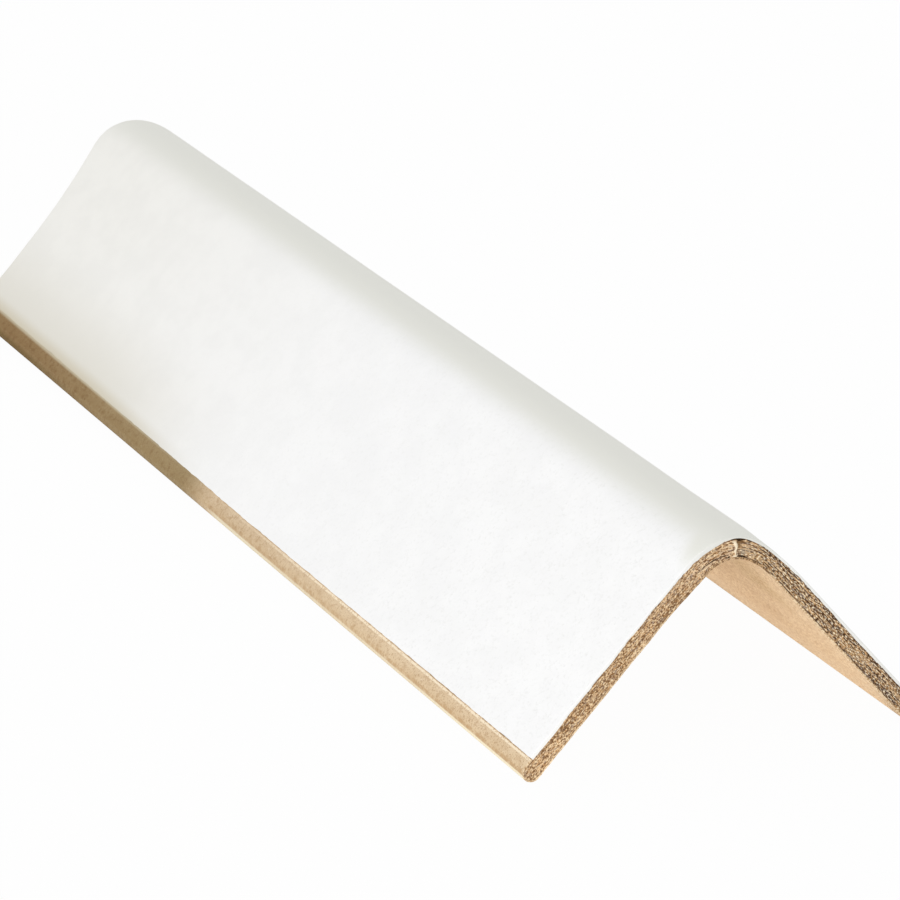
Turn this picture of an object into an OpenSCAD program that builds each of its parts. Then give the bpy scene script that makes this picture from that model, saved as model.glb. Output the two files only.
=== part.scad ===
// Pallet edge protector: a short length of laminated paperboard angle.
// It stands like a tent on its two leg edges, with the bend on top and its length along Y.
// The section is drawn in XY around the centre of the bend, carried along Z, then stood up.

/* [Angle] */
// Width of each leg, from the sharp outer corner to the leg edge
leg_w = 50; // [30:0.5:100]
// Angle between the two legs, in degrees
leg_angle = 85; // [80:0.5:100]
// Radius of the bend on the inner face
inner_r = 7.2; // [2:0.2:12]
// Length of the protector along the bend
board_l = 230; // [50:1:1500]

/* [Layers] */
// Thickness of the glued brown plies
core_t = 2.55; // [1.5:0.05:5]
// Thickness of the kraft sheet
wrap_t = 0.3; // [0.15:0.05:0.5]
// Thickness of the white sheet
liner_t = 0.45; // [0.2:0.05:0.8]
// Flat kraft margin between the white sheet and the rounded leg edge
margin_w = 1.7; // [0.5:0.1:4]

/* [Hidden] */
$fn = 96;

// Radii of the layers' faces around the bend, from the inside out
core_in_r = inner_r + wrap_t;
core_mid_r = core_in_r + core_t / 2;
core_out_r = core_in_r + core_t;
liner_out_r = core_out_r + liner_t;

// The leg edge is half round: the plies are rounded and the kraft sheet turns round them
edge_core_r = core_t / 2;
edge_wrap_r = edge_core_r + wrap_t;

// Flat stretch of a leg, from the end of the bend to the rounded edge
half_angle = leg_angle / 2;
corner_to_bend = liner_out_r / tan(half_angle);
flat_w = leg_w - edge_wrap_r - corner_to_bend;

// Height of the bend's centre when both leg edges stand on the ground
bend_z = flat_w * cos(half_angle) - core_mid_r * sin(half_angle) + edge_wrap_r;

// Stands the section up, with its length along Y
module stood_up() {
    translate([0, 0, bend_z]) rotate([90, 0, 0]) children();
}

// Part of a ring of radii r0 to r1 around Z, over the given angle from X
module ring_part(r0, r1, angle) {
    rotate_extrude(angle = angle) translate([r0, -board_l / 2]) square([r1 - r0, board_l]);
}

// One layer of the bend, between the two legs
module bend_layer(r0, r1) {
    rotate(half_angle) ring_part(r0, r1, 180 - leg_angle);
}

// One layer of a leg, from one distance below the bend to another
module leg_layer(r0, r1, from, to) {
    translate([r0, -to, -board_l / 2]) cube([r1 - r0, to - from, board_l]);
}

// The half-round leg edge, between two radii around the middle of the plies
module leg_edge(r0, r1) {
    translate([core_mid_r, -flat_w, 0]) rotate(180) ring_part(r0, r1, 180);
}

// Puts a leg's layers on both sides of the bend
module both_legs() {
    for (side = [0, 1]) mirror([side, 0, 0]) rotate(half_angle) children();
}

// The glued brown plies, seen on the cut ends
module ply_core() {
    color("peru") stood_up() {
        bend_layer(core_in_r, core_out_r);
        both_legs() {
            leg_layer(core_in_r, core_out_r, 0, flat_w);
            leg_edge(0, edge_core_r);
        }
    }
}

// The kraft sheet: inner faces, both leg edges and a margin on the outer faces
module kraft_wrap() {
    color("burlywood") stood_up() {
        bend_layer(inner_r, core_in_r);
        both_legs() {
            leg_layer(inner_r, core_in_r, 0, flat_w);
            leg_edge(edge_core_r, edge_wrap_r);
            leg_layer(core_out_r, core_out_r + wrap_t, flat_w - margin_w, flat_w);
        }
    }
}

// The white sheet over the bend and both outer faces, down to the kraft margin
module white_liner() {
    color("whitesmoke") stood_up() {
        bend_layer(core_out_r, liner_out_r);
        both_legs() leg_layer(core_out_r, liner_out_r, 0, flat_w - margin_w);
    }
}

ply_core();
kraft_wrap();
white_liner();
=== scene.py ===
"""Dresses a pallet edge protector: glued paperboard plies, their kraft sheet and a white outer sheet.

Lengths are in millimetres until a mesh is made. The board is described flat, by t, the distance across
it from the ridge, by depth through it and by y along it, and is then bent into the angle.
"""

import bpy
import numpy as np
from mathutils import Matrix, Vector


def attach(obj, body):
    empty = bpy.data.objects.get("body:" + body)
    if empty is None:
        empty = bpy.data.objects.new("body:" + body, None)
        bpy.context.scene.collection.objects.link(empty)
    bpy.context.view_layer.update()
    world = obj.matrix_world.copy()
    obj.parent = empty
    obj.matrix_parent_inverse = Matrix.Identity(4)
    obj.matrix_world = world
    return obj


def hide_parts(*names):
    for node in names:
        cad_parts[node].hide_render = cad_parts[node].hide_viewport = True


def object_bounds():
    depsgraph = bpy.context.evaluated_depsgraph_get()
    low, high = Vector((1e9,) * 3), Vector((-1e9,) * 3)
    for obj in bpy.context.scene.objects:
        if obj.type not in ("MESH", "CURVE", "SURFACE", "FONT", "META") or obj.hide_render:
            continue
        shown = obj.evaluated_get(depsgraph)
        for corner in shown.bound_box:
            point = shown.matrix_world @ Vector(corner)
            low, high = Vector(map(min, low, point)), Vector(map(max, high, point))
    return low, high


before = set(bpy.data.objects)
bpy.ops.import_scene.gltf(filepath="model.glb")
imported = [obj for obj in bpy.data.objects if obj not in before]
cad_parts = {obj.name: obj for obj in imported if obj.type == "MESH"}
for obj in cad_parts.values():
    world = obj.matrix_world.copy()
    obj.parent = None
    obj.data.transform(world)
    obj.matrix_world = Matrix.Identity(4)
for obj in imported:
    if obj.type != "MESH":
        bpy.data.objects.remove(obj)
cad_low, cad_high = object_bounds()

# Section of the board, as the solids have it
MM = 0.001
LEG_W = 50.0
LEG_ANGLE = np.radians(85.0)
INNER_R = 7.2
CORE_T = 2.55
WRAP_T = 0.3
LINER_T = 0.45

CORE_IN_R = INNER_R + WRAP_T
CORE_MID_R = CORE_IN_R + CORE_T / 2
CORE_OUT_R = CORE_IN_R + CORE_T
LINER_OUT_R = CORE_OUT_R + LINER_T
EDGE_CORE_R = CORE_T / 2
EDGE_WRAP_R = EDGE_CORE_R + WRAP_T
SWEEP = np.pi / 2 - LEG_ANGLE / 2
FLAT_W = LEG_W - EDGE_WRAP_R - LINER_OUT_R / np.tan(LEG_ANGLE / 2)
BEND_Z = FLAT_W * np.cos(LEG_ANGLE / 2) - CORE_MID_R * np.sin(LEG_ANGLE / 2) + EDGE_WRAP_R
HOLLOW_X = CORE_MID_R * np.sin(SWEEP) + FLAT_W * np.cos(SWEEP) - EDGE_WRAP_R / 2

# Distances along the board, from its middle
BOARD_L = (cad_high.y - cad_low.y) / MM
NEAR_Y = -BOARD_L / 2
FAR_Y = BOARD_L / 2

# Distances across the board from the ridge, along the middle of the plies
BEND_T = CORE_MID_R * SWEEP
LEG_END_T = BEND_T + FLAT_W

# The same along the kraft sheet's glued face: bend, leg, half-round edge
WRAP_BEND_Q = CORE_IN_R * SWEEP
WRAP_LEG_Q = WRAP_BEND_Q + FLAT_W
WRAP_EDGE_Q = WRAP_LEG_Q + np.pi * EDGE_CORE_R

# The white sheet lies a little askew, so the kraft margin grows towards the far end
MARGIN_W = 1.46
SKEW_FROM_Y = -10.0
SKEW_RATE = 0.0068
SEAM_LAP = 0.03

# The far cut bows: it stands out near the ridge and sits back at the feet
FAR_CUT_FOOT = -3.1
FAR_CUT_BOW = 6.1
FAR_CUT_T = -3.2
FAR_CUT_SPREAD = 12.0

# Cut plies, and the split at the ridge of the near cut
# The board is bent up to the split, dented on both its flanks and swollen a little past them
PLY_T = CORE_T / 8
LINER_ROLL_R = 0.16
CREASE_T = 0.65
PUSH_UP = 0.4
OUTER_DENT = (0.3, 0.34)
OUTER_SWELL = (0.14, 0.1)
INNER_DENT = (0.43, 0.2)
LINER_DENT = 0.3
FLAT_FLANK = 0.13

# Meshes: edges sharper than this stay sharp, and bumps are this high
SHARP_ANGLE = np.radians(40.0)
BUMP_H = 0.1

# Soil on the left margin: where each stage starts, where it is full, and its tint
SOIL_STAGES = (
    (-70.0, 5.0, (240, 238, 236)),
    (2.0, 16.0, (197, 194, 175)),
    (12.0, 100.0, (229, 215, 201)),
)

# Painted warm shade on the white sheet by its far foot: how far up it goes, and its colour
FOOT_SHADE_REACHES = ((18.0, (229, 226, 216)), (2.5, (214, 206, 186)))

# Photograph's camera
CAMERA_AT = (-335.0, -713.2, 290.1)
CAMERA_TURN = (70.335, -1.567, -25.220)
CAMERA_LENS = 202.1

# Light: even all round, two lamps at the front left, and panels on the floor of the hollow
WORLD_LIGHT = 0.83
LAMP_AIM = (cad_low + cad_high) / 2 / MM
KEY_AT = (-720.0, -560.0, 45.0)
KEY_SIZE = (320.0, 70.0)
KEY_WATTS = 1.4
FILL_AT = (-390.0, -760.0, 60.0)
FILL_SIZE = (360.0, 90.0)
FILL_WATTS = 0.8

# Panels: left and right as shares of the hollow's half width, near and far of the board's length, then glow
PANEL_Z = 0.1
PANELS = (
    ("under", -1.0, 1.0, -0.487, 0.487, 0.385),
    ("foot", 0.1, 0.92, -0.36, -0.06, 0.165),
    ("mouth", -1.0, 0.7, -0.535, -0.474, 0.62),
)

# Floor: half its side, its colour, and how much of what the camera sees of it is plain white
FLOOR_HALF = 4000.0
FLOOR_TONE = (0.86, 0.86, 0.85, 1.0)
FLOOR_GLOW = 0.97


def smooth_noise(x, y, seed):
    """Random heights from -1 to 1 on a unit lattice, joined by smooth steps in x and in y."""
    lattice = np.random.default_rng(seed).uniform(-1.0, 1.0, (256, 256))
    column = np.floor(x).astype(int)
    row = np.floor(y).astype(int)
    across = (x - column) ** 2 * (3 - 2 * (x - column))
    up = (y - row) ** 2 * (3 - 2 * (y - row))
    left = lattice[column % 256, row % 256] * (1 - up) + lattice[column % 256, (row + 1) % 256] * up
    column = column + 1
    right = lattice[column % 256, row % 256] * (1 - up) + lattice[column % 256, (row + 1) % 256] * up
    return left * (1 - across) + right * across


def bell(x, middle, spread):
    """Gaussian hump: one at the middle, falling off over the spread on both sides."""
    return np.exp(-0.5 * ((x - middle) / spread) ** 2)


def bent(t, radius):
    """Section point of the board: t turns the radius over the bend, then slides it straight down a leg."""
    turn = np.clip(t / CORE_MID_R, -SWEEP, SWEEP)
    slide = t - turn * CORE_MID_R
    x = radius * np.sin(turn) + slide * np.cos(SWEEP)
    z = BEND_Z + radius * np.cos(turn) - np.abs(slide) * np.sin(SWEEP)
    return x, z


def along(c, t):
    """Length y for c from -1 to 1: even, with the far half drawn to a cut that bows as 1 / (1 + d * d)."""
    bow = FAR_CUT_FOOT + FAR_CUT_BOW / (1 + ((t - FAR_CUT_T) / FAR_CUT_SPREAD) ** 2)
    return c * FAR_Y + bow * np.clip(c, 0, 1) ** 3


def margin_at(y):
    """Width of the flat kraft margin: even over the near half, then growing with y."""
    return MARGIN_W + SKEW_RATE * np.clip(y - SKEW_FROM_Y, 0, None)


def at_ends(c, near, far):
    """The near value where c is -1, the far value where c is 1, and nought between."""
    return np.where(c < -0.999, near, np.where(c > 0.999, far, 0.0))


def cut_relief(t, depth, seed):
    """How far a cut stands out of its plane: waved plies, their seams, fibres, pits and loose flakes."""
    long_wave = 0.5 * smooth_noise(t / 6.0, depth / 9.0, seed)
    short_wave = 0.3 * smooth_noise(t / 1.7, depth / 1.1, seed + 1)
    ply = depth / PLY_T + (long_wave + short_wave)
    index = np.floor(ply)
    seam = (np.abs(ply - index - 0.5) * 2) ** 5 * (0.6 + 0.4 * smooth_noise(t / 2.4, index * 3.7, seed + 2))
    proud = smooth_noise(t / 7.0, index * 5.3, seed + 3)
    fibre = smooth_noise(t / 0.6, depth / 0.17, seed + 4)
    grain = smooth_noise(t / 0.26, depth / 0.13, seed + 5)
    pit = np.clip(smooth_noise(t / 0.6, depth / 0.24, seed + 6) - 0.5, 0, None)
    flake = np.clip(smooth_noise(t / 0.7, depth / 0.22, seed + 7) - 0.5, 0, None)
    return 0.02 * proud + 0.035 * fibre + 0.03 * grain + 0.12 * flake - 0.06 * seam - 0.16 * pit


def crack(t, share):
    """Wedge of the split, right of its flake: wide at the plies' outer face and closed half way in."""
    upper = np.clip(share - 0.5, 0, 1)
    return bell(t, CREASE_T + 0.25 - 0.6 * upper, 0.17 + 0.35 * upper) * np.clip(8 * share - 3.6, 0, 1)


def crease_relief(t, depth):
    """Split at the ridge of the near cut: a torn flake with a foot, gaps round it and one ply let go."""
    share = depth / CORE_T
    ragged_fibres = 0.2 * smooth_noise(depth / 0.5, t, 17) + 0.16 * smooth_noise(depth / 0.2, t / 0.4, 18)
    torn = t + ragged_fibres + 1.4 * (share - 0.42) ** 2
    flake = bell(torn, CREASE_T - 0.3, 0.15 + 0.1 * np.clip(share - 0.6, 0, 1))
    flake = flake * np.clip(12.5 * share - 0.75, 0, 1) * np.clip(11.5 - 12.5 * share, 0, 1)
    foot = bell(share, 0.1, 0.03) * np.clip(6 * t + 4.8, 0, 1) * np.clip(3.6 - 6 * t, 0, 1)
    notch = bell(t, CREASE_T + 0.2, 0.35) * np.clip(12 * share - 9.8, 0, 1)
    under_liner = bell(t, CREASE_T + 0.35, 1.3) * np.clip(14 * share - 12.2, 0, 1)
    under_grey = bell(t, CREASE_T + 0.85, 0.65) * bell(share, 0.03, 0.05)
    slit = bell(t, CREASE_T - 1.43, 0.08) * np.clip(3.5 - 25 * share, 0, 1)
    crumb = smooth_noise(t / 0.34, depth / 0.22, 19)
    crushed = 0.3 * bell(t, CREASE_T + 0.4, 1.3) * bell(share, 0.1, 0.07) * crumb
    broken = 0.55 + 0.45 * smooth_noise(t / 0.3, depth / 0.3, 21)
    gaps = 0.06 * crack(t, share) + 0.25 * notch + 0.25 * slit
    gaps = gaps + broken * (0.28 * under_liner + 0.55 * under_grey)
    from_ply = share - 0.18 + 0.0225 * t
    let_go = np.clip(t + 8.5, 0, 1) * np.clip(-0.4 - t, 0, 1)
    let_go = let_go * (0.65 + 0.35 * smooth_noise(t / 0.9, 0 * t, 20))
    ply_line = 0.1 * bell(from_ply, 0.1, 0.035) - 0.2 * bell(from_ply, 0, 0.04)
    return 0.24 * flake + 0.14 * foot + crushed - gaps + let_go * ply_line


def outer_push(t, c):
    """How far the plies' outer face stands off at a cut.

    It wanders at both cuts. At the near one the split lifts it between two dents, with a swell past each.
    """
    wander = 0.04 * smooth_noise(t / 2.6, c, 15)
    dents = OUTER_DENT[0] * bell(t, -4.8, 2.0) + OUTER_DENT[1] * bell(t, 6.0, 2.0)
    swell = OUTER_SWELL[0] * bell(t, -17.0, 5.0) + OUTER_SWELL[1] * bell(t, 16.0, 3.0)
    split = PUSH_UP * bell(t, 0.3, 1.6) + swell - dents
    return at_ends(c, split + wander * np.clip(np.abs(t) / 3 - 0.5, 0, 1), wander)


def inner_push(t, c):
    """How far the plies' inner face stands into the hollow at the near cut, on both flanks of the split."""
    return at_ends(c, INNER_DENT[0] * bell(t, -7.4, 3.0) + INNER_DENT[1] * bell(t, 4.6, 1.8), 0.0)


def ply_stack_points(a, b, c):
    """Plies: t is a, b spans their depth, and the last columns lean out to a half-round leg edge."""
    lean = np.clip((np.abs(a) - LEG_END_T + 4.0) / 4.0, 0, 1) ** 2
    t = a + np.sign(a) * lean * EDGE_CORE_R * np.sqrt(np.clip(1 - b * b, 0, 1))
    depth = (b + 1) * CORE_T / 2
    share = depth / CORE_T
    x, z = bent(t, CORE_IN_R + depth + outer_push(t, c) * share ** 2 - inner_push(t, c) * (1 - share) ** 2)
    relief = at_ends(c, cut_relief(t, depth, 11) + crease_relief(t, depth), cut_relief(t, depth, 41))
    greyed = bell(t, CREASE_T + 0.8, 0.75) * bell(share, 0.28, 0.15)
    greyed = at_ends(c, greyed * (0.6 + 0.4 * smooth_noise(t / 0.2, depth / 0.16, 22)), 0.0)
    browned = at_ends(c, crack(t, share), 0.0)
    y = along(c, t) + np.sign(c) * relief
    flat = np.stack([t, y, depth], -1)
    return np.stack([x, y, z], -1), {"flat": flat, "relief": relief, "greyed": greyed, "browned": browned}


def kraft_sheet_points(a, b, c):
    """Kraft sheet: along the inner faces, half a turn round each leg edge, then up the outer face."""
    side = np.sign(a)
    q = np.abs(a)
    turn = np.clip(q / CORE_IN_R, 0, SWEEP)
    on_leg = np.clip(q - WRAP_BEND_Q, 0, FLAT_W)
    roll = np.clip((q - WRAP_LEG_Q) / EDGE_CORE_R, 0, np.pi)
    t = side * (turn * CORE_MID_R + on_leg)
    y = along(c, t)
    rise = np.clip((q - WRAP_EDGE_Q) / MARGIN_W, 0, 1) * (margin_at(y) + SEAM_LAP)
    # Out is measured across the leg from the bend's centre, and down along the leg
    edge_r = EDGE_CORE_R + inner_push(t, c) + b * WRAP_T
    out = CORE_MID_R - edge_r * np.cos(roll)
    down = on_leg + edge_r * np.sin(roll) - rise
    x = side * (out * np.sin(turn) + down * np.cos(SWEEP))
    z = BEND_Z + out * np.cos(turn) - down * np.sin(SWEEP)
    ragged = 0.05 * smooth_noise(a / 0.5, b, 71) + 0.05 * smooth_noise(a / 2.5, c, 72)
    y = y + np.sign(c) * at_ends(c, ragged, ragged)
    sheet = side * (np.minimum(q, WRAP_EDGE_Q) + rise)
    from_seam = margin_at(y) - rise + np.clip(WRAP_EDGE_Q - q, 0, None)
    flat = np.stack([sheet, y, b * WRAP_T], -1)
    return np.stack([x, y, z], -1), {"flat": flat, "from_seam": from_seam}


def white_sheet_points(a, b, c):
    """White sheet: over the plies' outer face to a slightly rough edge at the margin, with a faint ripple.

    The bend's right flank is a little flatter than round, and goes in with the plies towards the near cut.
    """
    y_edge = along(c, LEG_END_T)
    rough = 0.05 * smooth_noise(y_edge / 0.9, np.sign(a), 85)
    rough = rough + 0.03 * smooth_noise(y_edge / 5.0, np.sign(a), 86)
    t = a * (LEG_END_T - margin_at(y_edge) + rough)
    y = along(c, t)
    ripple = 0.03 * smooth_noise(t / 14.0, y / 22.0, 81) + 0.012 * smooth_noise(t / 4.0, y / 6.0, 82)
    to_cut = np.clip(-12.5 * c - 11.5, 0, 1)
    flank = FLAT_FLANK * bell(t, 5.0, 2.0) + LINER_DENT * bell(t, 6.8, 2.5) * to_cut
    glued = outer_push(t, c) - at_ends(c, 0.05, 0.05)
    x, z = bent(t, CORE_OUT_R + (1 - b) * glued + b * (LINER_T + ripple - flank))
    rolled = LINER_ROLL_R * (np.sqrt(1 - np.clip(1 + (b - 1) * LINER_T / LINER_ROLL_R, 0, 1) ** 2) - 1)
    ragged = 0.04 * smooth_noise(t / 0.7, b, 83) + 0.05 * smooth_noise(t / 3.5, c, 84) + rolled
    y = y + np.sign(c) * at_ends(c, ragged, ragged)
    from_seam = LEG_END_T - margin_at(y) - np.abs(t)
    return np.stack([x, y, z], -1), {"flat": np.stack([t, y, b * LINER_T], -1), "from_seam": from_seam}


def steps(*stops):
    """Values from stop to stop, given as value, count, value, count, value, each stretch evenly cut."""
    stretches = zip(stops[:-2:2], stops[1:-1:2], stops[2::2])
    return np.concatenate([np.linspace(a, b, n, endpoint=False) for a, n, b in stretches] + [stops[-1:]])


def both_sides(half):
    """Values from minus the last to the last, from a half that starts at nought."""
    return np.concatenate([-half[:0:-1], half])


def drawn_to_faces(count):
    """Values from -1 to 1, closer together towards both: 0.6 of even steps u and 0.4 of sin(u * pi / 2)."""
    u = np.linspace(-1, 1, count)
    return 0.6 * u + 0.4 * np.sin(np.pi / 2 * u)


def drawn_to_outside(count):
    """Values from 0 to 1, closer together towards 1, as one minus a square."""
    return 1 - np.linspace(1, 0, count) ** 2


def quads(grid, flip):
    """Four corners of each cell of a grid of point numbers, turned round where flip is true."""
    corners = np.stack([grid[:-1, :-1], grid[1:, :-1], grid[1:, 1:], grid[:-1, 1:]], -1).reshape(-1, 4)
    return corners[:, ::-1] if flip else corners


def skin(name, points_of, a, b, c, inside_out, material, node):
    """Piece of six grids on the skin of a box with sides a, b and c, bent by a function, edges shared."""
    counts = (len(a), len(b), len(c))
    ids = np.arange(np.prod(counts)).reshape(counts)
    sides = [
        quads(ids[:, 0, :], not inside_out), quads(ids[:, -1, :], inside_out),
        quads(ids[:, :, 0], inside_out), quads(ids[:, :, -1], not inside_out),
        quads(ids[0, :, :], inside_out), quads(ids[-1, :, :], not inside_out),
    ]
    used, corners = np.unique(np.concatenate(sides), return_inverse=True)
    i, j, k = np.unravel_index(used, counts)
    points, attributes = points_of(a[i], b[j], c[k])
    mesh = bpy.data.meshes.new(name)
    mesh.from_pydata((points * MM).tolist(), [], corners.reshape(-1, 4).tolist())
    for key, values in attributes.items():
        kind, field = ("FLOAT_VECTOR", "vector") if values.ndim == 2 else ("FLOAT", "value")
        mesh.attributes.new(key, kind, "POINT").data.foreach_set(field, values.astype(np.float32).ravel())
    mesh.shade_smooth()
    mesh.set_sharp_from_angle(angle=SHARP_ANGLE)
    mesh.materials.append(material)
    piece = bpy.data.objects.new(name, mesh)
    bpy.context.scene.collection.objects.link(piece)
    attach(piece, "root")
    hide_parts(node)
    return piece


def tone(red, green, blue):
    """Linear colour with alpha from screen values of 0 to 255."""
    screen = np.array([red, green, blue]) / 255
    shade = np.where(screen <= 0.04045, screen / 12.92, ((screen + 0.055) / 1.055) ** 2.4)
    return (*shade.tolist(), 1.0)


class Finish:
    """A material that is painted coat by coat, with one short call for each kind of node."""

    def __init__(self, name):
        self.material = bpy.data.materials.new(name)
        self.material.use_nodes = True
        self.tree = self.material.node_tree
        self.colour = None
        self.flat = self.read("flat", "Vector")
        self.t = self.axis(self.flat, 0)
        self.y = self.axis(self.flat, 1)
        self.depth = self.axis(self.flat, 2)

    def node(self, kind, values, output=0, **settings):
        """New node with its inputs set or linked, giving one of its outputs."""
        made = self.tree.nodes.new(kind)
        for key, setting in settings.items():
            setattr(made, key, setting)
        for key, value in values.items():
            if isinstance(value, bpy.types.NodeSocket):
                self.tree.links.new(value, made.inputs[key])
            else:
                made.inputs[key].default_value = value
        return made.outputs[output]

    def read(self, name, output="Fac"):
        """One of the piece's own attributes."""
        return self.node("ShaderNodeAttribute", {}, output, attribute_name=name)

    def axis(self, vector, index):
        """One part of a vector."""
        return self.node("ShaderNodeSeparateXYZ", {0: vector}, index)

    def math(self, operation, first, second=0.0):
        """Sum, product or the like of two values."""
        return self.node("ShaderNodeMath", {0: first, 1: second}, operation=operation)

    def times(self, product, *factors):
        """Product of all the values."""
        for factor in factors:
            product = self.math("MULTIPLY", product, factor)
        return product

    def noise(self, per_mm, detail=0.0, roughness=0.5):
        """Cloudy noise with so many features a millimetre along t, y and depth."""
        stretched = self.node("ShaderNodeVectorMath", {0: self.flat, 1: per_mm}, operation="MULTIPLY")
        values = {"Vector": stretched, "Scale": 1.0, "Detail": detail, "Roughness": roughness}
        return self.node("ShaderNodeTexNoise", values, noise_dimensions="3D")

    def step(self, value, low, high):
        """Smooth rise from nought at low to one at high."""
        values = {"Value": value, "From Min": low, "From Max": high}
        return self.node("ShaderNodeMapRange", values, interpolation_type="SMOOTHSTEP")

    def line(self, value, middle, half_width):
        """One on a line at the middle, falling to nought half a width away."""
        away = self.math("ABSOLUTE", self.math("SUBTRACT", value, middle))
        return self.step(away, half_width, half_width * 0.3)

    def cut_face(self):
        """One where the surface faces along the board, as the cut ends do."""
        facing = self.axis(self.node("ShaderNodeNewGeometry", {}, "True Normal"), 1)
        return self.step(self.math("ABSOLUTE", facing), 0.5, 0.7)

    def blend(self, factor, first, second):
        """Blend of two values."""
        return self.node("ShaderNodeMix", {0: factor, 2: first, 3: second})

    def mix(self, factor, first, second, how="MIX"):
        """Blend of two colours, or the first one tinted by the second."""
        values = {0: factor, 6: first, 7: second}
        return self.node("ShaderNodeMix", values, 2, data_type="RGBA", blend_type=how)

    def coat(self, share, over):
        """Lay a colour over what is painted so far."""
        self.colour = self.mix(share, self.colour, over)

    def tint(self, share, over):
        """Stain what is painted so far with a colour."""
        self.colour = self.mix(share, self.colour, over, "MULTIPLY")

    def done(self, roughness, specular, height, strength):
        """The material, once its shader has the colour painted and a bump from a height."""
        values = {"Strength": strength, "Distance": BUMP_H * MM, "Height": height}
        bump = self.node("ShaderNodeBump", values)
        shader = self.tree.nodes["Principled BSDF"]
        self.tree.links.new(self.colour, shader.inputs["Base Color"])
        self.tree.links.new(bump, shader.inputs["Normal"])
        shader.inputs["Roughness"].default_value = roughness
        shader.inputs["Specular IOR Level"].default_value = specular
        return self.material


class WhitePaper(Finish):
    """Bleached sheet: faint clouds and flecks, painted shade over the ridge and by the far foot, with grey
    cuts.
    """

    def face(self):
        """Clouds, flecks that clear towards the far end, and a painted warm shade that grows the same way.
        """
        cloud = self.noise((0.16, 0.12, 1.0), 3.0, 0.6)
        fleck = self.noise((1.9, 1.5, 1.0), 3.0, 0.65)
        self.colour = self.mix(self.step(cloud, 0.35, 0.65), tone(250, 250, 250), tone(253, 253, 253))
        flecked = self.times(self.step(self.y, FAR_Y - 35.0, NEAR_Y), self.step(fleck, 0.48, 0.8))
        self.coat(flecked, tone(241, 241, 240))
        # painted shade: the white is tinted warmer and a little darker towards the far end
        self.tint(self.step(self.y, -30.0, FAR_Y + 5.0), tone(249, 248, 243))

    def ridge(self):
        """Painted shade in a band over the bend, wider on its left by the near cut."""
        wider = self.times(self.step(self.y, NEAR_Y + 6.0, NEAR_Y + 1.0), 3.0)
        left_side = self.step(self.math("ADD", self.t, wider), -6.0, -1.6)
        # painted shade over the bend, where less light reaches the sheet
        self.coat(self.times(left_side, self.step(self.t, 14.0, 6.0)), tone(237, 237, 230))

    def foot_shade(self):
        """Painted warm shade above the far half of the left margin."""
        from_seam = self.read("from_seam")
        far = self.times(self.step(self.y, 5.0, 65.0), self.step(self.t, 5.0, -5.0))
        # painted shade, warm and greyer close to the margin
        for reach, warm in FOOT_SHADE_REACHES:
            self.coat(self.times(far, self.step(from_seam, reach, -0.1 * reach)), tone(*warm))

    def cut(self):
        """Cut edges: greyer over the bend."""
        grey = self.mix(self.step(self.t, -9.0, -1.0), tone(242, 242, 240), tone(226, 226, 220))
        grey = self.mix(self.step(self.t, 5.0, 8.0), grey, tone(238, 238, 234))
        self.coat(self.cut_face(), grey)


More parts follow.
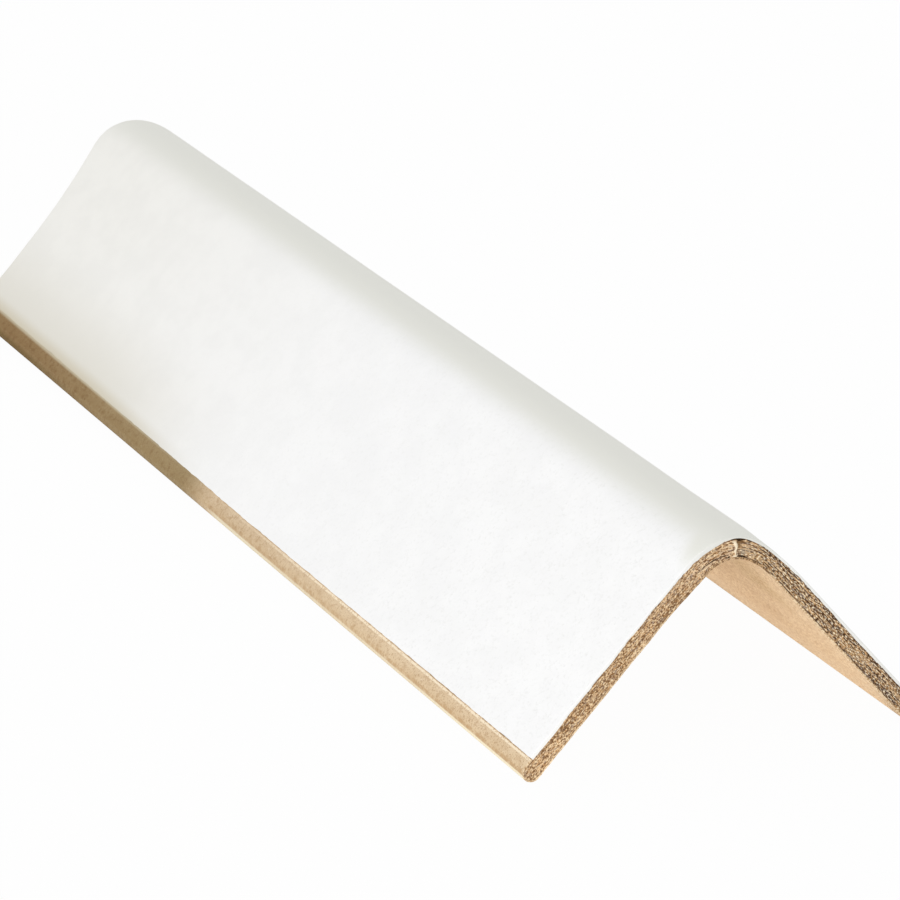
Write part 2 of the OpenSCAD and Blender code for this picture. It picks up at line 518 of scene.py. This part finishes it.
class KraftPaper(Finish):
    """Natural kraft: tan pulp, a painted highlight round the foot, a soiled far margin on the left, and
    grainy cuts.
    """

    def __init__(self, name):
        super().__init__(name)
        self.from_seam = self.read("from_seam")
        self.mottle = self.noise((1.1, 0.8, 1.0), 4.0, 0.65)
        self.long_fibre = self.noise((3.0, 1.1, 1.0), 3.0, 0.6)
        self.speck = self.noise((2.6, 2.4, 1.0), 2.0, 0.5)
        self.grain = self.noise((3.6, 3.2, 3.0), 2.0, 0.6)
        self.fresh = self.step(self.y, NEAR_Y + 80.0, NEAR_Y + 15.0)
        self.on_left = self.step(self.t, 1.0 - WRAP_LEG_Q, -WRAP_LEG_Q)
        self.clean = self.math("SUBTRACT", 1.0, self.on_left)
        self.near = self.math("MAXIMUM", self.clean, self.step(self.y, 5.0, -2.0))

    def pulp(self):
        """Clouds, mottle, crossed fibres, specks, and a dark grain that grows towards the near cut."""
        cloud = self.noise((0.12, 0.09, 1.0), 4.0, 0.6)
        cross_fibre = self.noise((0.8, 3.0, 1.0), 3.0, 0.6)
        self.colour = self.mix(self.step(cloud, 0.35, 0.65), tone(225, 200, 165), tone(233, 210, 177))
        self.coat(self.step(self.mottle, 0.48, 0.72), tone(206, 177, 141))
        self.coat(self.step(self.long_fibre, 0.56, 0.74), tone(238, 218, 189))
        self.coat(self.step(cross_fibre, 0.57, 0.76), tone(202, 172, 136))
        self.coat(self.step(self.speck, 0.66, 0.8), tone(178, 145, 108))
        rough = self.times(self.blend(self.fresh, 0.6, 1.5), self.step(self.grain, 0.5, 0.28))
        self.coat(rough, tone(196, 165, 130))

    def hollow(self):
        """Inner faces: dark and light spots, a faint darker band near the mouth on the right, and painted
        bounce light that makes the feet paler.
        """
        inside = self.step(self.from_seam, 4.4, 5.4)
        spot = self.noise((2.6, 2.2, 1.0), 1.0, 0.6)
        self.coat(self.times(inside, self.step(spot, 0.52, 0.25)), tone(196, 160, 118))
        self.coat(self.times(inside, self.step(spot, 0.5, 0.8)), tone(250, 228, 194))
        # faint darker band across the right inner face near the mouth
        darker_band = self.times(self.line(self.t, 16.5, 8.0), self.line(self.y, NEAR_Y + 15.5, 11.0))
        self.tint(darker_band, tone(243, 241, 233))
        # painted light: the inner faces grow paler towards the feet, where light bounced off the floor would
        # fall
        pale = self.times(self.blend(inside, 0.0, 0.18), self.step(self.from_seam, 16.0, 8.0))
        self.coat(pale, tone(232, 218, 196))

    def foot(self):
        """Leg edge: a painted highlight round it, a shade on the margin above and a broken darker line
        between them.
        """
        from_edge = self.math("ADD", self.from_seam, self.times(self.y, 0.0017))
        edge_highlight = self.times(self.step(from_edge, 2.26, 2.6), self.step(from_edge, 5.5, 4.0))
        edge_highlight = self.times(edge_highlight, self.blend(self.line(self.y, -54.0, 46.0), 1.0, 0.6), self.near)
        # painted highlight on the rounded leg edge, where light bounced up from the floor falls
        self.coat(edge_highlight, tone(255, 243, 214))
        shade = self.times(self.step(from_edge, 0.6, 2.2), self.step(from_edge, 2.6, 2.3))
        self.tint(shade, tone(248, 245, 239))
        # broken darker line between the highlight and the flat margin
        dark_line = self.times(self.near, self.step(self.mottle, 0.4, 0.56), self.blend(self.fresh, 0.4, 1.0))
        self.coat(self.times(dark_line, self.line(from_edge, 2.13, 0.38)), tone(200, 167, 127))

    def soil(self):
        """Left margin: stages of soil towards the far end, and the dark lowest part of that end."""
        for start, full, stage in SOIL_STAGES:
            self.tint(self.times(self.on_left, self.step(self.y, start, full)), tone(*stage))
        lowest = self.times(self.step(self.y, 50.0, 95.0), self.step(self.from_seam, 2.25, 3.2))
        self.tint(self.times(self.on_left, lowest), tone(213, 211, 188))

    def seam(self):
        """Along the white sheet: a painted highlight on the near half, a pale band on the far half, and a
        painted shadow under its edge, broken into fibres.
        """
        # painted highlight on the kraft beside the white sheet's edge
        seam_highlight = self.math("MAXIMUM", self.clean, self.step(self.y, 10.0, -50.0))
        seam_highlight = self.times(seam_highlight, self.step(self.speck, 0.34, 0.5), self.line(self.from_seam, 0.34, 0.28))
        self.coat(seam_highlight, tone(250, 233, 206))
        reach = self.blend(self.step(self.y, 40.0, 90.0), 0.48, 0.72)
        band = self.times(self.step(self.y, 5.0, 55.0), self.step(self.from_seam, reach, 0.0), self.on_left)
        self.coat(band, tone(206, 195, 168))
        # painted shadow cast by the white sheet's edge onto the kraft, broken into fibres
        ragged_fibres = self.times(self.near, self.step(self.from_seam, 0.2, 0.08))
        ragged_fibres = self.times(ragged_fibres, self.step(self.long_fibre, 0.4, 0.58))
        self.coat(ragged_fibres, self.mix(self.fresh, tone(196, 166, 128), tone(166, 132, 94)))

    def cut(self):
        """Cut edges: grainy, dark at the glue, and soaked dark where the near cut is dented."""
        rind = self.mix(self.step(self.grain, 0.36, 0.6), tone(184, 148, 108), tone(240, 216, 180))
        glue = self.times(self.step(self.depth, 0.12, 0.02), self.step(self.mottle, 0.44, 0.56))
        rind = self.mix(glue, rind, tone(116, 86, 58))
        off_flake = self.math("SUBTRACT", 1.0, self.line(self.t, -0.1, 0.6))
        dented = self.times(self.step(self.t, -15.0, -11.0), self.step(self.t, 8.6, 6.4))
        dented = self.times(dented, self.step(self.y, 10.0, -10.0), off_flake)
        right = self.step(self.t, -1.0, 3.0)
        dark = self.mix(right, tone(128, 96, 66), tone(98, 72, 48))
        light = self.mix(right, tone(222, 188, 146), tone(198, 162, 120))
        soaked = self.mix(self.step(self.grain, 0.4, 0.6), dark, light)
        self.coat(self.cut_face(), self.mix(dented, rind, soaked))


class CutPlies(Finish):
    """Cut board: streaked tan plies with light and dark fibres, darker and coarser on the right leg."""

    def __init__(self, name):
        super().__init__(name)
        self.right = self.step(self.t, -2.0, 5.0)
        self.grain = self.blend(self.right, self.noise((3.8, 0.37, 6.4)), self.noise((2.0, 0.53, 7.0)))

    def plies(self):
        """Streaks of pale and brown, darker on the right and a little low down on both legs."""
        streak = self.noise((0.2, 0.1, 5.8))
        streak = self.blend(self.right, self.step(streak, 0.29, 0.71), self.step(streak, 0.44, 0.56))
        pale = self.mix(self.step(self.t, -24.0, -2.0), tone(220, 185, 143), tone(232, 201, 166))
        pale = self.mix(self.right, pale, tone(252, 221, 180))
        brown = self.mix(self.right, tone(142, 106, 68), tone(94, 63, 31))
        self.colour = self.mix(streak, brown, pale)
        self.tint(self.right, tone(206, 194, 176))
        low_down = self.math("MAXIMUM", self.step(self.t, -27.0, -35.0), self.step(self.t, 16.0, 24.0))
        self.tint(low_down, tone(245, 244, 244))

    def fibres(self):
        """Reddish and greyish fibres, the grey patch by the split, then dark and light grain."""
        hue = self.noise((1.6, 0.45, 5.6))
        self.coat(self.step(hue, 0.5, 0.85), tone(206, 160, 112))
        self.coat(self.step(hue, 0.5, 0.15), tone(166, 148, 134))
        self.coat(self.read("greyed"), tone(140, 130, 116))
        dark = self.mix(self.right, tone(116, 84, 54), tone(62, 40, 22))
        light = self.mix(self.right, tone(240, 214, 174), tone(255, 240, 210))
        self.coat(self.step(self.grain, 0.52, 0.22), dark)
        self.coat(self.step(self.grain, 0.52, 0.8), light)

    def hollows(self):
        """Brown crack, pale where the cut stands out, painted shade in its pits and gaps, and dark along
        broken lines of glue.
        """
        relief = self.read("relief")
        self.coat(self.times(self.read("browned"), 0.85), tone(126, 93, 56))
        self.coat(self.step(relief, 0.06, 0.16), tone(246, 230, 202))
        # painted shade: the deeper the pits, seams and gaps of the relief, the darker
        self.coat(self.step(relief, -0.06, -0.18), tone(66, 46, 28))
        from_face = self.math("MINIMUM", self.depth, self.math("SUBTRACT", CORE_T, self.depth))
        broken = self.noise((0.9, 0.9, 0.6), 2.0, 0.6)
        glue = self.times(self.step(from_face, 0.2, 0.05), self.step(broken, 0.46, 0.58))
        self.coat(self.times(glue, self.blend(self.right, 0.45, 1.0)), tone(92, 66, 44))


def white_paper():
    """White sheet's material: its face, then the painted shade over the ridge and by the far foot, and the
    cuts.
    """
    paint = WhitePaper("white_paper")
    paint.face()
    paint.ridge()
    paint.foot_shade()
    paint.cut()
    return paint.done(0.7, 0.25, paint.noise((3.4, 3.0, 1.0), 4.0, 0.7), 0.15)


def kraft_paper():
    """Kraft sheet's material: its pulp, then the hollow, the foot, the soil, the seam and the cuts."""
    paint = KraftPaper("kraft_paper")
    paint.pulp()
    paint.hollow()
    paint.foot()
    paint.soil()
    paint.seam()
    paint.cut()
    return paint.done(0.8, 0.2, paint.grain, 0.2)


def cut_plies():
    """Plies' material: their streaks, then the fibres and the hollows."""
    paint = CutPlies("cut_plies")
    paint.plies()
    paint.fibres()
    paint.hollows()
    return paint.done(0.9, 0.1, paint.grain, 0.3)


def seen_ray(nodes, links):
    """One for rays from the camera, a reflection or a clear body, which see the background as white."""
    path = nodes.new("ShaderNodeLightPath")
    joined = path.outputs["Is Camera Ray"]
    for name in ("Is Glossy Ray", "Is Transmission Ray"):
        either = nodes.new("ShaderNodeMath")
        either.operation = "MAXIMUM"
        links.new(joined, either.inputs[0])
        links.new(path.outputs[name], either.inputs[1])
        joined = either.outputs[0]
    return joined


def white_floor():
    """Plain square floor: pale and matt, mostly white light to the camera, so that a soft shadow stays."""
    half = FLOOR_HALF * MM
    corners = np.array([[-half, -half], [half, -half], [half, half], [-half, half]])
    mesh = bpy.data.meshes.new("floor")
    mesh.from_pydata(np.c_[corners, np.full(4, cad_low.z)].tolist(), [], [[0, 1, 2, 3]])
    material = bpy.data.materials.new("floor_white")
    material.use_nodes = True
    nodes = material.node_tree.nodes
    links = material.node_tree.links
    matt = nodes["Principled BSDF"]
    matt.inputs["Base Color"].default_value = FLOOR_TONE
    matt.inputs["Roughness"].default_value = 1.0
    matt.inputs["Specular IOR Level"].default_value = 0.0
    white = nodes.new("ShaderNodeEmission")
    share = nodes.new("ShaderNodeMath")
    share.operation = "MULTIPLY"
    share.inputs[1].default_value = FLOOR_GLOW
    links.new(seen_ray(nodes, links), share.inputs[0])
    blend = nodes.new("ShaderNodeMixShader")
    links.new(share.outputs[0], blend.inputs[0])
    links.new(matt.outputs[0], blend.inputs[1])
    links.new(white.outputs[0], blend.inputs[2])
    links.new(blend.outputs[0], nodes["Material Output"].inputs["Surface"])
    mesh.materials.append(material)
    floor = bpy.data.objects.new("floor", mesh)
    bpy.context.scene.collection.objects.link(floor)


def white_world():
    """Even light from all round, seen as white."""
    world = bpy.data.worlds.new("studio")
    world.use_nodes = True
    nodes = world.node_tree.nodes
    links = world.node_tree.links
    even = nodes["Background"]
    even.inputs["Color"].default_value = (1.0, 1.0, 1.0, 1.0)
    strength = nodes.new("ShaderNodeMapRange")
    strength.inputs["To Min"].default_value = WORLD_LIGHT
    links.new(seen_ray(nodes, links), strength.inputs["Value"])
    links.new(strength.outputs[0], even.inputs["Strength"])
    bpy.context.scene.world = world


def soft_lamp(name, at, size, watts, aim):
    """Oblong lamp at a place, turned towards a point."""
    light = bpy.data.lights.new(name, "AREA")
    light.shape = "RECTANGLE"
    light.size = size[0] * MM
    light.size_y = size[1] * MM
    light.energy = watts
    lamp = bpy.data.objects.new(name, light)
    lamp.location = np.array(at) * MM
    lamp.visible_camera = False
    lamp.rotation_euler = (Vector(aim) * MM - lamp.location).to_track_quat("-Z", "Y").to_euler()
    bpy.context.scene.collection.objects.link(lamp)


def floor_panel(name, left, right, near, far, glow):
    """Lamp that lies on the floor of the hollow and faces up, with watts of pi times glow times area."""
    size = ((right - left) * HOLLOW_X, (far - near) * BOARD_L)
    middle = ((left + right) / 2 * HOLLOW_X, (near + far) / 2 * BOARD_L)
    watts = np.pi * glow * size[0] * size[1] * MM * MM
    soft_lamp(name, (*middle, PANEL_Z), size, watts, (*middle, PANEL_Z + 1.0))


def photograph_camera():
    """Camera where the photograph was taken from."""
    lens = bpy.data.cameras.new("camera")
    lens.lens = CAMERA_LENS
    camera = bpy.data.objects.new("camera", lens)
    camera.location = np.array(CAMERA_AT) * MM
    camera.rotation_euler = np.radians(CAMERA_TURN)
    bpy.context.scene.collection.objects.link(camera)
    bpy.context.scene.camera = camera


photograph_camera()
white_floor()
white_world()
soft_lamp("key", KEY_AT, KEY_SIZE, KEY_WATTS, LAMP_AIM)
soft_lamp("fill", FILL_AT, FILL_SIZE, FILL_WATTS, LAMP_AIM)
for panel in PANELS:
    floor_panel(*panel)
bpy.context.scene.view_settings.view_transform = "Standard"

skin(
    "ply_stack", ply_stack_points,
    both_sides(steps(0.0, 70, BEND_T, 330, LEG_END_T)),
    drawn_to_faces(41), steps(-1.0, 1, -0.98, 2, 0.98, 1, 1.0),
    False, cut_plies(), "ply_core",
)
skin(
    "kraft_sheet", kraft_sheet_points,
    both_sides(steps(0.0, 20, WRAP_BEND_Q, 56, WRAP_LEG_Q, 18, WRAP_EDGE_Q, 6, WRAP_EDGE_Q + MARGIN_W)),
    np.linspace(0, 1, 4), np.linspace(-1, 1, 121),
    True, kraft_paper(), "kraft_wrap",
)
skin(
    "white_sheet", white_sheet_points,
    both_sides(steps(0.0, 24, BEND_T / LEG_END_T, 56, 1.0)),
    drawn_to_outside(9), np.linspace(-1, 1, 231),
    False, white_paper(), "white_liner",
)
